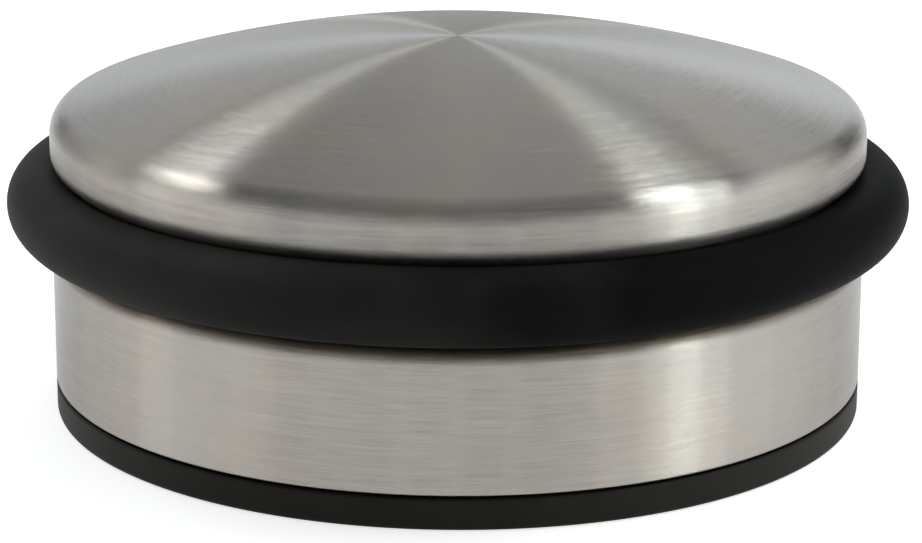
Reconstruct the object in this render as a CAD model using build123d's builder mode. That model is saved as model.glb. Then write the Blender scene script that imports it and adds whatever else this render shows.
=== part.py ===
from build123d import *

import os
from math import acos, asin, degrees, sqrt

# Floor door stop that stands free on the floor. The steel hood is one drawn and spun sheet, rolled into a
# groove round the iron ballast, which locks the two together. The rubber ring lies stretched in that groove
# and meets the door. The rubber pad is glued under the ballast and meets the floor. All four pieces turn
# about the Z axis, and Z is 0 on the floor. Sizes are in millimetres.

# Driving dimensions of the body
body_diameter = 90.0  # outside of the hood
body_height = 41.2  # from the floor to the top of the crown
crown_radius = 135.0  # outside of the domed top
shoulder_edge_radius = 2.3  # on the ballast, where the hood bends over it
collar_height = 2.0  # straight wall between the shoulder and the groove
hood_wall = 0.6
hood_fit_gap = 0.1  # between the hood and the ballast

# Driving dimensions of the rolled groove and the ring in it
ring_section = 8.0
ring_seat_gap = 0.05  # between the ring and the groove
ring_lift = 0.4  # of the ring above the groove's middle
groove_depth = 3.27
groove_side_gap = 1.2  # by which the groove's arc is wider than the ring's
lip_edge_radius = 1.3  # on the ballast, where the hood bends into the groove

# Driving dimensions of the foot
pad_thickness = 3.4
pad_top_edge_radius = 0.3
pad_foot_edge_radius = 0.5
hood_foot_gap = 0.3  # between the pad and the hood's lower edge
hood_foot_edge_radius = 0.25  # on the outside of the hood's lower edge
ballast_foot_chamfer = 0.8

# Sizes that follow from those above
body_radius = body_diameter / 2
ballast_inset = hood_wall + hood_fit_gap
hood_foot_height = pad_thickness + hood_foot_gap
shoulder_radius = shoulder_edge_radius + ballast_inset
lip_radius = lip_edge_radius + ballast_inset
ring_radius = ring_section / 2
groove_radius = ring_radius + groove_side_gap
groove_floor_radius = body_radius - groove_depth

# The shoulder's arc rolls inside the crown's arc, so their centres lie on one line through the meeting point.
shoulder_centre_radius = body_radius - shoulder_radius
crown_to_shoulder = crown_radius - shoulder_radius
crown_turn = degrees(asin(shoulder_centre_radius / crown_to_shoulder))
shoulder_height = body_height - crown_radius + sqrt(crown_to_shoulder**2 - shoulder_centre_radius**2)

# Each lip's arc meets the groove's arc from outside, again on the line of their centres.
lip_to_groove = lip_radius + groove_radius
lip_overhang = groove_floor_radius + groove_radius - (body_radius - lip_radius)
lip_turn = degrees(acos(lip_overhang / lip_to_groove))
lip_rise = sqrt(lip_to_groove**2 - lip_overhang**2)
groove_height = shoulder_height - collar_height - lip_rise

# The ring lies against the groove's arc from inside, so its lift sets how far out its own centre lies.
ring_to_groove = groove_side_gap - ring_seat_gap
ring_centre_radius = groove_floor_radius + groove_radius - sqrt(ring_to_groove**2 - ring_lift**2)
ring_height = groove_height + ring_lift


def body_section(inset: float, foot_height: float) -> Sketch:
    """Half of the body's section, as radius and height, drawn inside the hood's outer face by the inset."""
    radius = body_radius - inset
    lip_bend = lip_radius - inset
    with BuildSketch() as section:
        with BuildLine():
            skirt = Line((radius, foot_height), (radius, groove_height - lip_rise))
            low_lip = JernArc(skirt @ 1, skirt % 1, lip_bend, lip_turn)
            groove = JernArc(low_lip @ 1, low_lip % 1, groove_radius + inset, -2 * lip_turn)
            high_lip = JernArc(groove @ 1, groove % 1, lip_bend, lip_turn)
            collar = Line(high_lip @ 1, (radius, shoulder_height))
            shoulder = JernArc(collar @ 1, collar % 1, shoulder_radius - inset, 90 - crown_turn)
            JernArc(shoulder @ 1, shoulder % 1, crown_radius - inset, crown_turn)
            Polyline((0, body_height - inset), (0, foot_height), skirt @ 0)
        make_face()
    return section.sketch


# The hood is the outer section less the inner one: a sheet of even thickness, open below, with an eased foot.
hood_outside = body_section(0, hood_foot_height)
hood_inside = body_section(hood_wall, hood_foot_height)
with BuildPart() as steel_hood:
    with BuildSketch(Plane.XZ):
        add(hood_outside)
        add(hood_inside, mode=Mode.SUBTRACT)
    revolve(axis=Axis.Z)
    hood_foot_edges = steel_hood.edges().filter_by(GeomType.CIRCLE).group_by(Axis.Z)[0]
    fillet(hood_foot_edges.sort_by(SortBy.RADIUS)[-1], radius=hood_foot_edge_radius)
steel_hood.part.label = "steel_hood"

# The ballast is one casting that fills the hood and stands on the pad, with a chamfer round its foot.
ballast_outside = body_section(ballast_inset, pad_thickness)
with BuildPart() as iron_ballast:
    with BuildSketch(Plane.XZ):
        add(ballast_outside)
    revolve(axis=Axis.Z)
    ballast_foot_edge = iron_ballast.edges().filter_by(GeomType.CIRCLE).sort_by(Axis.Z)[0]
    chamfer(ballast_foot_edge, length=ballast_foot_chamfer)
iron_ballast.part.label = "iron_ballast"

# The ring is a round cord, moulded endless, seated in the groove.
with BuildPart() as rubber_ring:
    with BuildSketch(Plane.XZ):
        with Locations((ring_centre_radius, ring_height)):
            Circle(ring_radius)
    revolve(axis=Axis.Z)
rubber_ring.part.label = "rubber_ring"

# The pad is a disc as wide as the hood, with both its edges eased.
with BuildPart() as base_pad:
    with BuildSketch():
        Circle(body_radius)
    extrude(amount=pad_thickness)
    pad_foot_edge = base_pad.edges().filter_by(GeomType.CIRCLE).sort_by(Axis.Z)[0]
    fillet(pad_foot_edge, radius=pad_foot_edge_radius)
    pad_top_edge = base_pad.edges().filter_by(GeomType.CIRCLE).sort_by(Axis.Z)[-1]
    fillet(pad_top_edge, radius=pad_top_edge_radius)
base_pad.part.label = "base_pad"

os.makedirs("parts", exist_ok=True)
export_step(steel_hood.part, "parts/steel_hood.step")
export_step(iron_ballast.part, "parts/iron_ballast.step")
export_step(rubber_ring.part, "parts/rubber_ring.step")
export_step(base_pad.part, "parts/base_pad.step")
print(f"groove at {groove_height:.2f} mm, ring at {ring_height:.2f} mm")
print(f"ring {2 * (ring_centre_radius + ring_radius):.2f} mm across")
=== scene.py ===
# %% [markdown]
# # A floor door stop, dressed in Blender
# The stop is a heavy steel puck that stands on the floor and keeps a door from opening too far. The
# solid model comes first: every piece below takes its place and its outer size from that model and
# repeats the model's own radii, so nothing is fitted by eye. This lesson then gives each piece a smooth
# mesh and a finish, and lights it like a product photograph.

# %% Load the solid model
import math

import bpy
import numpy as np
from mathutils import Matrix, Vector


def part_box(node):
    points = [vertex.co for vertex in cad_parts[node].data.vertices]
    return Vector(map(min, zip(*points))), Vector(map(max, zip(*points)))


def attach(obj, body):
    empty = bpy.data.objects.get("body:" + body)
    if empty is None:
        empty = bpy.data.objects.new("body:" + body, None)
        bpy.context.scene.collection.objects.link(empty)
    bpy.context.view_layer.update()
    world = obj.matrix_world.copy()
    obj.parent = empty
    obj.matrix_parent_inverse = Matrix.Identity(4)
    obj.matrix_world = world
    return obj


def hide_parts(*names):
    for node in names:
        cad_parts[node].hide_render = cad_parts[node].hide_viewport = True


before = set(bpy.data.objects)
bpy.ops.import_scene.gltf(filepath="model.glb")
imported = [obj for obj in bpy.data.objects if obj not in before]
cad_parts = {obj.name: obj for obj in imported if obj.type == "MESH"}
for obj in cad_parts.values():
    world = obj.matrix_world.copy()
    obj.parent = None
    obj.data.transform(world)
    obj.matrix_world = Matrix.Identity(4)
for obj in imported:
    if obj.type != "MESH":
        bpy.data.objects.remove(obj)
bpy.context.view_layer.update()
print("solid nodes:", sorted(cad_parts))

# %% [markdown]
# ## The camera
# A long lens a little above the stop looks slightly down on it. The camera's place was found by
# matching the outlines of the solid model to those in the photograph. A camera looks along its own
# minus Z axis, so its axes are built here from the direction to the aim point. The last turn is the
# photograph's own small tilt.

# %% Place the camera
IMAGE_WIDTH = 922
SENSOR_WIDTH = 36.0
FOCAL_PIXELS = 3300.0
CAMERA_DISTANCE = 0.36854
CAMERA_ELEVATION = math.radians(15.109)
CAMERA_TILT = math.radians(0.206)
STOP_MIDDLE = Vector((0, 0, 0.021))
AIM = Vector((0.00036, 0, 0.01415))


def look_at(place, aim, tilt=0.0):
    """The turn of a camera or a lamp at the place: minus Z points at the aim, rolled by the tilt."""
    return (aim - place).to_track_quat("-Z", "Y").to_matrix().to_4x4() @ Matrix.Rotation(tilt, 4, "Z")


camera_data = bpy.data.cameras.new("photo_camera")
camera_data.sensor_width = SENSOR_WIDTH
camera_data.lens = FOCAL_PIXELS * SENSOR_WIDTH / IMAGE_WIDTH
camera_data.clip_start = 0.01
camera = bpy.data.objects.new("photo_camera", camera_data)
bpy.context.scene.collection.objects.link(camera)
from_middle = Vector((0, -math.cos(CAMERA_ELEVATION), math.sin(CAMERA_ELEVATION)))
camera_place = STOP_MIDDLE + CAMERA_DISTANCE * from_middle
camera.matrix_world = Matrix.Translation(camera_place) @ look_at(camera_place, AIM, CAMERA_TILT)
bpy.context.scene.camera = camera
bpy.context.scene.view_settings.view_transform = "Standard"
print(f"camera at {tuple(round(x, 4) for x in camera_place)}, lens {camera_data.lens:.1f} mm")

# %% [markdown]
# ## Surfaces of revolution
# Every piece of this stop was made on a lathe, in a press or in a round mould, so each one is a profile
# carried round the Z axis. Blender's Screw modifier could do that, but here the grid of points is
# worked out with numpy, because the same grid then also gives a clean map of the surface: U runs once
# round the piece and V runs along its profile. The brushed finish below follows that map.

# %% Stretches of a profile
SAME_POINT = 1e-8


def arc(centre, radius, start, end, count):
    """Points of an arc: centre + radius * (cos a, sin a), with a going evenly from start to end."""
    angle = np.radians(np.linspace(start, end, count))
    return np.stack([centre[0] + radius * np.cos(angle), centre[1] + radius * np.sin(angle)], 1)


def line(start, end, count):
    """Points of a straight stretch: start + t * (end - start), with t going evenly from 0 to 1."""
    return np.linspace(start, end, count)


def joined(*stretches):
    """One profile from several stretches, with the point where two of them meet kept once."""
    points = np.concatenate(stretches)
    step = np.linalg.norm(np.diff(points, axis=0), axis=1)
    return points[np.concatenate([[True], step > SAME_POINT])]


# %% [markdown]
# The lathe turns a profile into a mesh. Where the profile ends on the axis, a whole row of points falls
# together into one pole, and the four-sided faces there become triangles. A ring's profile is a loop
# instead, which closes on itself. Both ways the mesh has no open edge, so it encloses a volume like the
# real piece.

# %% A profile carried round the axis
AROUND = 360


def corners_of(grid):
    """The four corners of every cell of a grid, in order round the cell."""
    corners = np.stack([grid[:-1, :-1], grid[1:, :-1], grid[1:, 1:], grid[:-1, 1:]], 2)
    return corners.reshape(-1, *corners.shape[2:])


def lathe(name, profile, loop=False):
    """A closed mesh: the point (i, j) is (r_i cos a_j, r_i sin a_j, z_i), with a_j once round the axis.

    A profile that starts and ends on the axis gets a pole there, and a loop is closed along its profile.
    The profile runs so that the outside is on its left, seen with the radius to the right and Z up.
    """
    rows = len(profile)
    angle = 2 * np.pi * np.arange(AROUND) / AROUND
    radius, height = profile[:, :1], profile[:, 1:]
    points = np.stack([radius * np.cos(angle), radius * np.sin(angle), height + 0 * angle], 2)
    points = points.reshape(-1, 3)
    number = np.arange(rows * AROUND).reshape(rows, AROUND)
    if loop:
        number = np.concatenate([number, number[:1]])
        profile = np.concatenate([profile, profile[:1]])
    else:
        number[[0, -1]] = number[[0, -1], :1]
    number = np.concatenate([number, number[:, :1]], 1)
    step = np.linalg.norm(np.diff(profile, axis=0), axis=1)
    along = np.concatenate([[0], np.cumsum(step)]) / step.sum()
    chart = corners_of(np.stack(np.meshgrid(np.arange(AROUND + 1) / AROUND, along), 2))
    corners = corners_of(number)
    # A cell at a pole is a triangle: it drops a corner, and the pole's U goes to the cell's middle.
    keep = np.ones(corners.shape, bool)
    keep[:, 3] = corners[:, 3] != corners[:, 0]
    keep[:, 2] = corners[:, 2] != corners[:, 1]
    chart[~keep[:, 3], 0, 0] += 0.5 / AROUND
    chart[~keep[:, 2], 1, 0] += 0.5 / AROUND
    used, loops = np.unique(corners[keep], return_inverse=True)
    starts = np.concatenate([[0], np.cumsum(keep.sum(1))[:-1]])

    mesh = bpy.data.meshes.new(name)
    mesh.vertices.add(len(used))
    mesh.vertices.foreach_set("co", points[used].astype(np.float32).ravel())
    mesh.loops.add(len(loops))
    mesh.loops.foreach_set("vertex_index", loops.astype(np.int32))
    mesh.polygons.add(len(starts))
    mesh.polygons.foreach_set("loop_start", starts.astype(np.int32))
    mesh.update(calc_edges=True)
    mesh.uv_layers.new(name="OFBake").uv.foreach_set("vector", chart[keep].astype(np.float32).ravel())
    mesh.shade_smooth()
    mesh.validate()
    piece = bpy.data.objects.new(name, mesh)
    piece["profile_length"] = float(step.sum())
    bpy.context.scene.collection.objects.link(piece)
    print(f"{name}: {len(mesh.polygons)} faces, profile {1000 * step.sum():.1f} mm long")
    return piece


# %% [markdown]
# ## The steel hood
# The hood is one sheet: a shallow crown, a tight shoulder, a straight collar, a groove rolled in for
# the ring, and a straight skirt down to the open foot. Its profile is a chain of arcs that meet without
# a corner. Where two arcs meet, their centres lie on one line, and that gives every angle below. The
# ring lies a little above the middle of its groove, so the groove's height follows from the ring's.

# %% The hood's profile
CROWN_RADIUS = 0.135
SHOULDER_RADIUS = 0.003
LIP_RADIUS = 0.0020
GROOVE_RADIUS = 0.0052
GROOVE_DEPTH = 0.00327
RING_LIFT = 0.0004

hood_low, hood_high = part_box("steel_hood")
ring_low, ring_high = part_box("rubber_ring")
body_radius = hood_high.x
ring_height = (ring_low.z + ring_high.z) / 2
groove_height = ring_height - RING_LIFT
print(f"hood {2000 * body_radius:.1f} mm across, groove at {1000 * groove_height:.2f} mm")


def body_profile(inset, foot):
    """The body's outline from the crown's top to the foot, drawn inside the hood's outer face by inset."""
    shoulder_centre = body_radius - SHOULDER_RADIUS
    crown_to_shoulder = CROWN_RADIUS - SHOULDER_RADIUS
    crown_turn = math.degrees(math.asin(shoulder_centre / crown_to_shoulder))
    crown_centre = hood_high.z - CROWN_RADIUS
    shoulder_height = crown_centre + math.sqrt(crown_to_shoulder**2 - shoulder_centre**2)
    lip_centre = body_radius - LIP_RADIUS
    groove_centre = body_radius - GROOVE_DEPTH + GROOVE_RADIUS
    lip_to_groove = LIP_RADIUS + GROOVE_RADIUS
    lip_turn = math.degrees(math.acos((groove_centre - lip_centre) / lip_to_groove))
    rise = math.sqrt(lip_to_groove**2 - (groove_centre - lip_centre) ** 2)
    wall = body_radius - inset
    high_lip = (lip_centre, groove_height + rise)
    low_lip = (lip_centre, groove_height - rise)
    crown = arc((0, crown_centre), CROWN_RADIUS - inset, 90, 90 - crown_turn, 48)
    crown[0, 0] = 0.0
    return joined(
        crown,
        arc((shoulder_centre, shoulder_height), SHOULDER_RADIUS - inset, 90 - crown_turn, 0, 26),
        line((wall, shoulder_height), (wall, high_lip[1]), 4),
        arc(high_lip, LIP_RADIUS - inset, 0, -lip_turn, 14),
        arc((groove_centre, groove_height), GROOVE_RADIUS + inset, 180 - lip_turn, 180 + lip_turn, 24),
        arc(low_lip, LIP_RADIUS - inset, lip_turn, 0, 14),
        line((wall, low_lip[1]), (wall, foot), 9),
    )


# %% [markdown]
# A sheet has two faces, so the hood's profile goes down the outside, round the eased edge of the foot,
# and back up the inside. Nothing of the inside shows, but a closed sheet has a thickness, as the real
# one has.

# %% Build the hood
HOOD_WALL = 0.0006
FOOT_EDGE = 0.00025

outside = body_profile(0.0, hood_low.z + FOOT_EDGE)
foot_edge = arc((body_radius - FOOT_EDGE, hood_low.z + FOOT_EDGE), FOOT_EDGE, 0, -90, 8)
inside = body_profile(HOOD_WALL, hood_low.z)[::-1]
hood = lathe("brushed_hood", joined(outside, foot_edge, inside))
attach(hood, "root")
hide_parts("steel_hood")

# %% [markdown]
# ## The rubber ring
# The ring is what the door meets. It is a round cord, moulded without an end and stretched into the
# groove, so its profile is one full circle and the mesh is a torus.

# %% Build the ring
ring_radius = (ring_high.z - ring_low.z) / 2
ring_centre = ring_high.x - ring_radius
ring_profile = arc((ring_centre, ring_height), ring_radius, 180, -180, 73)[:-1]
ring = lathe("buffer_ring", ring_profile, loop=True)
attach(ring, "root")
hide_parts("rubber_ring")

# %% [markdown]
# ## The foot pad
# The pad keeps the stop from sliding and the floor from being scratched. It is a disc stamped from
# rubber sheet, and handling has eased both its edges.

# %% Build the pad
PAD_TOP_EDGE = 0.0003
PAD_FOOT_EDGE = 0.0005

pad_low, pad_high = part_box("base_pad")
pad_radius = pad_high.x
pad_profile = joined(
    line((0, pad_high.z), (pad_radius - PAD_TOP_EDGE, pad_high.z), 12),
    arc((pad_radius - PAD_TOP_EDGE, pad_high.z - PAD_TOP_EDGE), PAD_TOP_EDGE, 90, 0, 8),
    line((pad_radius, pad_high.z - PAD_TOP_EDGE), (pad_radius, pad_low.z + PAD_FOOT_EDGE), 8),
    arc((pad_radius - PAD_FOOT_EDGE, pad_low.z + PAD_FOOT_EDGE), PAD_FOOT_EDGE, 0, -90, 8),
    line((pad_radius - PAD_FOOT_EDGE, pad_low.z), (0, pad_low.z), 12),
)
pad = lathe("foot_pad", pad_profile)
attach(pad, "root")
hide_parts("base_pad")

# %% [markdown]
# ## Finishes
# Each finish is a small node tree, and the same few steps come back in all of them: a sum on two
# numbers, a sum on two directions, a smooth fade, a mix of two colours, some noise. These helpers add
# one such step to a tree, so that a finish below reads as a list of what it is made of.


# %% Steps of a node tree
def new_finish(name):
    """A new material, with its node tree and its Principled shader."""
    material = bpy.data.materials.new(name)
    material.use_nodes = True
    return material, material.node_tree, material.node_tree.nodes["Principled BSDF"]


def dress(piece, material):
    """Gives the piece this one material."""
    piece.data.materials.clear()
    piece.data.materials.append(material)
    print(f"{piece.name} in {material.name}, a tree of {len(material.node_tree.nodes)} nodes")


def add(tree, kind, inputs, **settings):
    """A new node, with its options as settings: an input takes a number, a colour or a node's socket."""
    node = tree.nodes.new("ShaderNode" + kind)
    for name, value in settings.items():
        setattr(node, name, value)
    for socket, value in inputs.items():
        if isinstance(value, bpy.types.NodeSocket):
            tree.links.new(value, node.inputs[socket])
        else:
            node.inputs[socket].default_value = value
    return node


def work(tree, operation, first, second=0.0):
    """The result of a sum on two numbers."""
    return add(tree, "Math", {0: first, 1: second}, operation=operation).outputs[0]


def vectors(tree, operation, first, second=(0, 0, 0)):
    """The result of a sum on two directions."""
    return add(tree, "VectorMath", {0: first, 1: second}, operation=operation).outputs[0]


def lengthen(tree, direction, factor):
    """A direction or a colour, times a number."""
    return add(tree, "VectorMath", {0: direction, "Scale": factor}, operation="SCALE").outputs[0]


def fade(tree, value, start, end, low, high):
    """A number that goes smoothly from low to high as the value goes from start to end."""
    inputs = {"Value": value, "From Min": start, "From Max": end, "To Min": low, "To Max": high}
    return add(tree, "MapRange", inputs, interpolation_type="SMOOTHSTEP").outputs["Result"]


def blend(tree, share, first, second):
    """A colour that goes from the first to the second as the share goes from 0 to 1."""
    return add(tree, "Mix", {0: share, 6: (*first, 1), 7: (*second, 1)}, data_type="RGBA").outputs[2]


def patches(tree, size, detail=2.0, seed=0.0):
    """Noise in patches of about this size in metres, from 0 to 1, in the piece's own coordinates."""
    place = add(tree, "TexCoord", {}).outputs["Object"]
    place = vectors(tree, "ADD", place, (seed, seed, seed))
    return add(tree, "TexNoise", {"Vector": place, "Scale": 1 / size, "Detail": detail}).outputs["Fac"]


# %% [markdown]
# ## Brushed steel
# A belt held against the turning hood left fine lines round its axis. Each line is a tiny groove, so
# light spreads across the lines and hardly along them, and every lamp draws a streak that runs from the
# crown down to the skirt. The lines are noise that is stretched round the axis: they follow the angle
# slowly and the profile fast.

# %% Lines round the axis
hood_length_mm = 1000 * hood["profile_length"]
print(f"lines are counted along {hood_length_mm:.1f} mm of profile")


def brush_lines(tree, lines_per_mm, strokes_per_radian, detail=2.0, seed=0.0):
    """Noise drawn out into lines round the axis, from -0.5 to 0.5.

    The noise is read at (k cos a, k sin a, f s), where a is the angle round the axis and s the way along
    the profile in millimetres: k counts the strokes in a radian, and f counts the lines in a millimetre.
    """
    chart = add(tree, "UVMap", {}, uv_map="OFBake").outputs[0]
    along = add(tree, "SeparateXYZ", {0: chart}).outputs["Y"]
    place = add(tree, "TexCoord", {}).outputs["Object"]
    turn = vectors(tree, "NORMALIZE", vectors(tree, "MULTIPLY", place, (1, 1, 0)))
    across = work(tree, "MULTIPLY", along, hood_length_mm * lines_per_mm)
    height = add(tree, "CombineXYZ", {"Z": across}).outputs[0]
    where = vectors(tree, "ADD", lengthen(tree, turn, strokes_per_radian), height)
    where = vectors(tree, "ADD", where, (0, 0, seed))
    noise = add(tree, "TexNoise", {"Vector": where, "Scale": 1.0, "Detail": detail}).outputs["Fac"]
    return work(tree, "SUBTRACT", noise, 0.5)


# %% [markdown]
# Two things spread the light. The shader's own anisotropy does a part, with its tangent along U. The
# walls of the grooves do the rest: very fine noise leans the normal to either side, across the lines.
# Some lines are deeper than others, and that combs the streaks. Coarser lines add a little lean of
# their own, and those are the ones that the eye sees. A slight lean along the lines frays the streaks'
# edges. It grows outwards from the axis, and on the shoulder and the skirt, where streaks are sharp,
# most of it is held back.

# %% How the brushed surface leans
GROOVE_TILT = 2.1
GROOVE_CHANGE = 4.0
LINE_TILT = 0.05
STROKE_SWAY = 0.09
RIM_SWAY = 0.3 * STROKE_SWAY
RIM_START, RIM_END = 0.90, 0.95

steel, tree, shader = new_finish("brushed_steel")
round_axis = add(tree, "Tangent", {}, direction_type="UV_MAP", uv_map="OFBake").outputs[0]
normal = add(tree, "NewGeometry", {}).outputs["Normal"]
across_lines = vectors(tree, "CROSS_PRODUCT", round_axis, normal)
grooves = brush_lines(tree, lines_per_mm=300.0, strokes_per_radian=8.0)
depths = brush_lines(tree, lines_per_mm=2.2, strokes_per_radian=4.0, detail=3.0, seed=60.0)
lines = brush_lines(tree, lines_per_mm=4.0, strokes_per_radian=5.0, seed=17.0)
sway = brush_lines(tree, lines_per_mm=5.0, strokes_per_radian=6.0, seed=40.0)

place = add(tree, "TexCoord", {}).outputs["Object"]
flat_place = vectors(tree, "MULTIPLY", place, (1, 1, 0))
out_from_axis = add(tree, "VectorMath", {0: flat_place}, operation="LENGTH").outputs["Value"]
reach = work(tree, "DIVIDE", out_from_axis, body_radius)
groove_tilt = work(tree, "ADD", work(tree, "MULTIPLY", depths, GROOVE_CHANGE), GROOVE_TILT)
groove_lean = work(tree, "MULTIPLY", grooves, groove_tilt)
line_lean = work(tree, "MULTIPLY", lines, LINE_TILT)
sway_size = fade(tree, reach, RIM_START, RIM_END, STROKE_SWAY, RIM_SWAY)
sway_lean = work(tree, "MULTIPLY", sway, work(tree, "MULTIPLY", reach, sway_size))
across_lean = lengthen(tree, across_lines, work(tree, "ADD", groove_lean, line_lean))
leaning = vectors(tree, "ADD", across_lean, lengthen(tree, round_axis, sway_lean))
brushed_normal = vectors(tree, "NORMALIZE", vectors(tree, "ADD", normal, leaning))
print(f"leaning normal: {len(tree.nodes)} nodes")

# %% [markdown]
# Stainless steel is a warm grey. Handling leaves faint smudges a centimetre or two wide, the lines
# differ a little in tone, and here and there a deeper scratch catches the light. On the lip under the
# ring, where the ring's shadow falls, a painted shade darkens and browns the steel.

# %% The colour of the steel
STEEL_WARM, STEEL_COOL = (0.400, 0.365, 0.324), (0.382, 0.361, 0.331)
TONE_PATCH, SMUDGE_PATCH = 0.012, 0.016
TONE_START, TONE_END = 0.35, 0.65
SCRATCH_START, SCRATCH_END = 0.22, 0.28
LINE_SHADE, SMUDGE_SHADE, SCRATCH_SHADE = 0.12, 0.12, 0.08
# Painted shade on the lip under the ring: between these heights the steel is darkened and browned, where
# the ring's shadow falls.
RING_SHADE_LOW, RING_SHADE_HIGH = groove_height - 0.0062, groove_height - 0.0046
RING_SHADE_BROWN = (0.46, 0.40, 0.33)

tone_share = fade(tree, patches(tree, TONE_PATCH, seed=3.0), TONE_START, TONE_END, 0.0, 1.0)
tone = blend(tree, tone_share, STEEL_WARM, STEEL_COOL)
line_shade = work(tree, "MULTIPLY", lines, LINE_SHADE)
smudge = work(tree, "SUBTRACT", patches(tree, SMUDGE_PATCH, detail=3.0, seed=8.0), 0.5)
smudge_shade = work(tree, "MULTIPLY", smudge, SMUDGE_SHADE)
scratches = brush_lines(tree, lines_per_mm=1.3, strokes_per_radian=6.0, detail=1.0, seed=90.0)
scratch_shade = fade(tree, scratches, SCRATCH_START, SCRATCH_END, 0.0, SCRATCH_SHADE)
shade = work(tree, "ADD", line_shade, smudge_shade)
shade = work(tree, "ADD", shade, work(tree, "ADD", scratch_shade, 1.0))
height = add(tree, "SeparateXYZ", {0: place}).outputs["Z"]
# The painted shade fades in up the lip and stays full up to the groove's middle height.
painted_ring_shade = fade(tree, height, RING_SHADE_LOW, RING_SHADE_HIGH, 0.0, 1.0)
painted_ring_shade = work(tree, "MULTIPLY", painted_ring_shade, work(tree, "LESS_THAN", height, groove_height))
ring_shade_tint = blend(tree, painted_ring_shade, (1, 1, 1), RING_SHADE_BROWN)
worn_and_shaded_steel = vectors(tree, "MULTIPLY", lengthen(tree, tone, shade), ring_shade_tint)
print(f"grime from {1000 * RING_SHADE_LOW:.1f} to {1000 * groove_height:.1f} mm above the floor")

# %% [markdown]
# The shader takes the colour and the leaning normal. Its anisotropy is turned a quarter, because the
# light has to spread across the tangent and not along it. The edge tint holds back the glare that a
# plain mirror would have where it is seen at a low angle.

# %% The steel's shader
STEEL_ROUGHNESS = 0.26
EDGE_TINT = (0.70, 0.70, 0.70, 1)
QUARTER_TURN = 0.25

tree.links.new(worn_and_shaded_steel, shader.inputs["Base Color"])
tree.links.new(round_axis, shader.inputs["Tangent"])
tree.links.new(brushed_normal, shader.inputs["Normal"])
shader.inputs["Metallic"].default_value = 1.0
shader.inputs["Roughness"].default_value = STEEL_ROUGHNESS
shader.inputs["Specular Tint"].default_value = EDGE_TINT
shader.inputs["Anisotropic"].default_value = 1.0
shader.inputs["Anisotropic Rotation"].default_value = QUARTER_TURN
dress(hood, steel)

# %% [markdown]
# ## Rubber
# Moulded rubber is nearly black and has only a weak shine. It pales in soft patches where hands and
# dust have been. On the ring a painted light from the left pales it more on the left than on the right.
# A very fine grain keeps its shine from looking wet. The pad is cut from sheet: browner and more
# mottled than the ring, with a little more shine.

# %% A rubber finish
RUBBER_GRAIN = 0.0004
RUBBER_ROUGHNESS = 0.58


def rubber(name, black, pale, pale_share, left_light_paint, patch_size, shine):
    """A rubber, black to pale by pale_share at the axis; a painted light from the left pales it more, by a
    set share a metre along minus X.
    """
    material, tree, shader = new_finish(name)
    place = add(tree, "SeparateXYZ", {0: add(tree, "TexCoord", {}).outputs["Object"]})
    # Painted light: the rubber grows paler towards minus X, as if lit from the left.
    painted_left_light = work(tree, "MULTIPLY", place.outputs["X"], -left_light_paint)
    patch = work(tree, "SUBTRACT", patches(tree, patch_size, detail=4.0, seed=5.0), 0.5)
    share = work(tree, "ADD", work(tree, "ADD", painted_left_light, pale_share), patch)
    tree.links.new(blend(tree, share, black, pale), shader.inputs["Base Color"])
    grain = {"Height": patches(tree, RUBBER_GRAIN), "Strength": 0.25, "Distance": 0.1 * RUBBER_GRAIN}
    tree.links.new(add(tree, "Bump", grain).outputs[0], shader.inputs["Normal"])
    shader.inputs["Roughness"].default_value = RUBBER_ROUGHNESS
    shader.inputs["Specular IOR Level"].default_value = shine
    return material


# %% Dress the ring and the pad
RING_BLACK, RING_PALE = (0.0060, 0.0060, 0.0058), (0.0440, 0.0420, 0.0395)
PAD_BLACK, PAD_PALE = (0.0058, 0.0052, 0.0030), (0.0135, 0.0116, 0.0076)

# The ring gets a painted light from the left; the pad gets none.
ring_rubber = rubber(
    "ring_rubber", RING_BLACK, RING_PALE, pale_share=0.28, left_light_paint=15.0, patch_size=0.015, shine=0.02
)
pad_rubber = rubber(
    "pad_rubber", PAD_BLACK, PAD_PALE, pale_share=0.5, left_light_paint=0.0, patch_size=0.006, shine=0.15
)
dress(ring, ring_rubber)
dress(pad, pad_rubber)

# %% [markdown]
# ## Cast iron
# The ballast inside can't be seen, but it is part of the model, so it gets its own finish: grey iron as
# it leaves the sand, with a coarse grain and a little rust.

# %% The ballast's finish
IRON_GREY, IRON_RUST = (0.11, 0.105, 0.10), (0.13, 0.075, 0.045)
RUST_PATCH = 0.01
RUST_START, RUST_END = 0.45, 0.75
SAND_GRAIN = 0.0008
IRON_METALLIC = 0.7
IRON_ROUGHNESS = 0.7

cast_iron, tree, shader = new_finish("cast_iron")
rust_patches = patches(tree, RUST_PATCH, detail=4.0, seed=2.0)
rust = fade(tree, rust_patches, RUST_START, RUST_END, 0.0, 1.0)
tree.links.new(blend(tree, rust, IRON_GREY, IRON_RUST), shader.inputs["Base Color"])
sand = {"Height": patches(tree, SAND_GRAIN, detail=4.0), "Strength": 0.5, "Distance": 0.2 * SAND_GRAIN}
tree.links.new(add(tree, "Bump", sand).outputs[0], shader.inputs["Normal"])
shader.inputs["Metallic"].default_value = IRON_METALLIC
shader.inputs["Roughness"].default_value = IRON_ROUGHNESS
dress(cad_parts["iron_ballast"], cast_iron)

# %% [markdown]
# ## The floor
# A product photograph like this is shot on a white sheet. The floor is a white plane that the lamps
# light. The rest of its white comes from a glow that only the camera, mirror and glass rays see, so it
# puts no more light on matt surfaces, and the stop's soft shadow stays.

# %% A white floor with a soft shadow
FLOOR_HALF = 4.0
FLOOR_DROP = 5e-5
FLOOR_WHITE = 0.8
FLOOR_GLOW = 0.68

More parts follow.
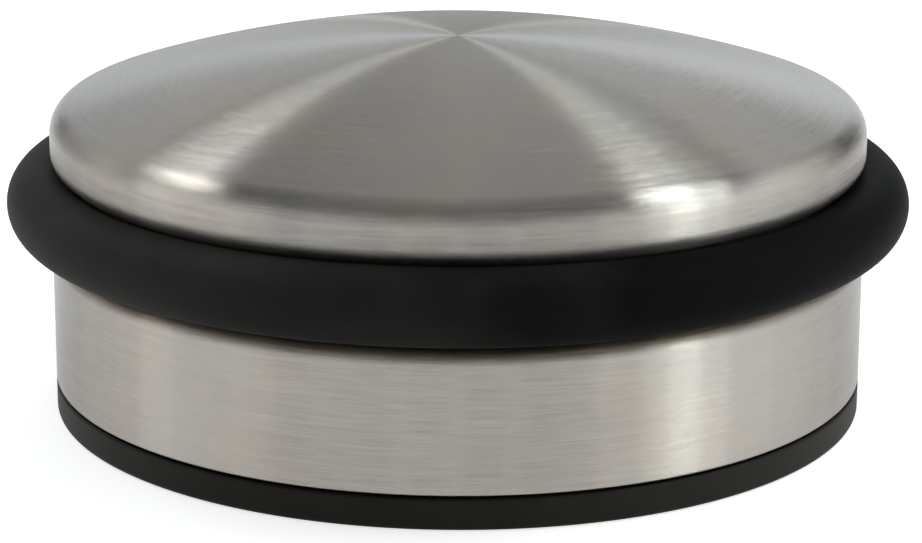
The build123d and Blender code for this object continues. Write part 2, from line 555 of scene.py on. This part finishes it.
floor_mesh = bpy.data.meshes.new("floor")
floor_square = FLOOR_HALF * np.array([(-1, -1), (1, -1), (1, 1), (-1, 1)])
floor_corners = np.column_stack([floor_square, np.full(4, -FLOOR_DROP)])
floor_mesh.from_pydata(floor_corners.tolist(), [], [(0, 1, 2, 3)])
floor = bpy.data.objects.new("floor", floor_mesh)
bpy.context.scene.collection.objects.link(floor)

floor_finish, tree, shader = new_finish("floor_white")
shader.inputs["Base Color"].default_value = (FLOOR_WHITE, FLOOR_WHITE, FLOOR_WHITE, 1)
shader.inputs["Roughness"].default_value = 1.0
shader.inputs["Specular IOR Level"].default_value = 0.0
shader.inputs["Emission Color"].default_value = (1, 1, 1, 1)
path = add(tree, "LightPath", {})
seen = work(tree, "MAXIMUM", path.outputs["Is Camera Ray"], path.outputs["Is Glossy Ray"])
seen = work(tree, "MAXIMUM", seen, path.outputs["Is Transmission Ray"])
tree.links.new(work(tree, "MULTIPLY", seen, FLOOR_GLOW), shader.inputs["Emission Strength"])
dress(floor, floor_finish)

# %% [markdown]
# ## The studio
# Brushed steel shows its surroundings, so the room matters as much as the lamps. A white sheet stands
# behind the stop, bright and a little cool low down and dimmer higher up, and the ceiling glows
# faintly. Both sides of the room glow low down, the right one more. The side where the camera stands is
# dark, and that draws the dark band on the shoulder.

# %% The room's directions
world = bpy.data.worlds.new("studio")
world.use_nodes = True
tree = world.node_tree
bpy.context.scene.world = world

look = add(tree, "SeparateXYZ", {0: add(tree, "TexCoord", {}).outputs["Generated"]})
rightward = look.outputs["X"]
rise = work(tree, "ARCSINE", look.outputs["Z"])
level_look = add(tree, "CombineXYZ", {"X": rightward, "Y": look.outputs["Y"]}).outputs[0]
backward = add(tree, "SeparateXYZ", {0: vectors(tree, "NORMALIZE", level_look)}).outputs["Y"]
print(f"{world.name}: directions from {len(tree.nodes)} nodes")

# %% [markdown]
# Each part of the room is a level of light that depends on the direction: how far it rises, how far it
# goes to the right, and how far it goes back. The brightest part wins in each direction.

# %% The sheet behind the stop
SHEET_LOW, SHEET_HIGH = 1.23, 0.56
SHEET_BEND, SHEET_TOP = math.radians(15), math.radians(50)
SHEET_LEAN = 0.55
SHEET_SIDE, SHEET_FULL = 0.84, 0.985

sheet_inputs = {"Value": rise, "From Min": SHEET_BEND, "From Max": SHEET_TOP}
sheet_inputs |= {"To Min": SHEET_LOW, "To Max": SHEET_HIGH}
sheet = add(tree, "MapRange", sheet_inputs).outputs["Result"]
sheet_lean = work(tree, "ADD", work(tree, "MULTIPLY", rightward, SHEET_LEAN), 1.0)
sheet_edge = fade(tree, backward, SHEET_SIDE, SHEET_FULL, 0.0, 1.0)
sheet = work(tree, "MULTIPLY", work(tree, "MULTIPLY", sheet, sheet_lean), sheet_edge)
print(f"sheet from {SHEET_LOW} low down to {SHEET_HIGH} at {math.degrees(SHEET_TOP):.0f} degrees")

# %% The horizon, the ceiling and the sides
HORIZON_TOP, HORIZON_LEVEL = math.radians(11), 0.12
CEILING_START, CEILING_FULL = math.radians(40), math.radians(72)
CEILING_LEVEL = 0.34
SIDE_LEVEL, SIDE_LEAN = 0.95, 0.30
SIDE_LOW, SIDE_HIGH = math.radians(10), math.radians(42)
SIDE_FULL, SIDE_END = 0.2, 0.8

horizon = fade(tree, rise, 0.0, HORIZON_TOP, HORIZON_LEVEL, 0.0)
ceiling = fade(tree, rise, CEILING_START, CEILING_FULL, 0.0, CEILING_LEVEL)
sideways = work(tree, "MULTIPLY", rightward, rightward)
side_height = fade(tree, rise, SIDE_LOW, SIDE_HIGH, SIDE_LEVEL, 0.0)
side_lean = work(tree, "ADD", work(tree, "MULTIPLY", rightward, SIDE_LEAN), 1.0)
side_edge = fade(tree, backward, SIDE_FULL, SIDE_END, 1.0, 0.0)
side = work(tree, "MULTIPLY", sideways, work(tree, "MULTIPLY", side_height, side_lean))
side = work(tree, "MULTIPLY", side, side_edge)
print(f"ceiling at {CEILING_LEVEL}, sides up to {SIDE_LEVEL * (1 + SIDE_LEAN):.2f}")

# %% The whole room
ROOM_LEVEL = 0.04
COOL_WHITE, PLAIN_WHITE = (0.88, 0.945, 1.0), (0.97, 0.99, 1.0)
COOL_TOP, PLAIN_START = math.radians(12), math.radians(30)

level = work(tree, "MAXIMUM", horizon, sheet)
level = work(tree, "MAXIMUM", level, ceiling)
level = work(tree, "MAXIMUM", level, side)
tint = blend(tree, fade(tree, rise, COOL_TOP, PLAIN_START, 0.0, 1.0), COOL_WHITE, PLAIN_WHITE)
room = tree.nodes["Background"]
tree.links.new(work(tree, "ADD", level, ROOM_LEVEL), room.inputs["Strength"])
tree.links.new(tint, room.inputs["Color"])
print(f"room: a tree of {len(tree.nodes)} nodes")

# %% [markdown]
# ## The lamps
# Each lamp is a softbox: a bright panel that faces the stop. On brushed steel a lamp shows as a streak
# at the angle halfway between the camera and the lamp, so the streaks in the photograph tell where the
# lamps stood. On the right two tilted panels make up the key, next to each other, and three low ones
# from small and bright to wide and dim light the skirt. On the left a flat strip hangs a little behind,
# with two low panels for the skirt. A low strip fills in from the front, and a dim card from each side.

# %% Softboxes
LAMP_DISTANCE = 1.2
KEY_COLOUR = (0.92, 1.0, 1.0)
STRIP_COLOUR = (0.94, 0.98, 1.0)


def softbox(name, azimuth, elevation, half_width, half_height, level, roll=0.0, colour=(1, 1, 1)):
    """A lamp panel that faces the stop, at an azimuth from the camera and an elevation, in degrees.

    Seen from the stop it is twice half_width wide and twice half_height high, in degrees.
    The level is how bright it looks.
    """
    lamp = bpy.data.lights.new(name, "AREA")
    lamp.shape = "RECTANGLE"
    lamp.size = 2 * LAMP_DISTANCE * math.tan(math.radians(half_width))
    lamp.size_y = 2 * LAMP_DISTANCE * math.tan(math.radians(half_height))
    lamp.energy = level * math.pi * lamp.size * lamp.size_y
    lamp.color = colour
    panel = bpy.data.objects.new(name, lamp)
    panel.visible_camera = False
    bpy.context.scene.collection.objects.link(panel)
    turn, rise = math.radians(azimuth), math.radians(elevation)
    outward = Vector((math.cos(rise) * math.sin(turn), -math.cos(rise) * math.cos(turn), math.sin(rise)))
    place = STOP_MIDDLE + LAMP_DISTANCE * outward
    panel.matrix_world = Matrix.Translation(place) @ look_at(place, STOP_MIDDLE, math.radians(roll))
    print(f"{name}: {1000 * lamp.size:.0f} by {1000 * lamp.size_y:.0f} mm, {lamp.energy:.2f} W")


# Each call gives a name, an azimuth, an elevation, half a width, half a height and a level.
softbox("right_key", 92, 56.5, 5.5, 12, 5.8, roll=-62, colour=KEY_COLOUR)
softbox("right_side_key", 86, 46.5, 9, 9, 5.0, roll=-40, colour=KEY_COLOUR)
softbox("right_low_key", 63, 6.5, 5, 5.5, 4.3, colour=KEY_COLOUR)
softbox("right_low_panel", 64, 6.5, 13, 5.5, 2.3, colour=KEY_COLOUR)
softbox("right_low_glow", 66, 9, 28, 8, 0.85)
softbox("left_strip", -114, 46.5, 15, 6.5, 5.4, colour=STRIP_COLOUR)
softbox("left_low_panel", -89, 6.5, 6, 5.5, 0.9)
softbox("left_low_glow", -73, 7, 23, 6, 0.8)
softbox("front_strip", 0, 22, 40, 8, 0.55)
softbox("right_card", 117, 29, 20, 16, 0.85)
softbox("left_card", -131, 24, 18, 14, 0.7)
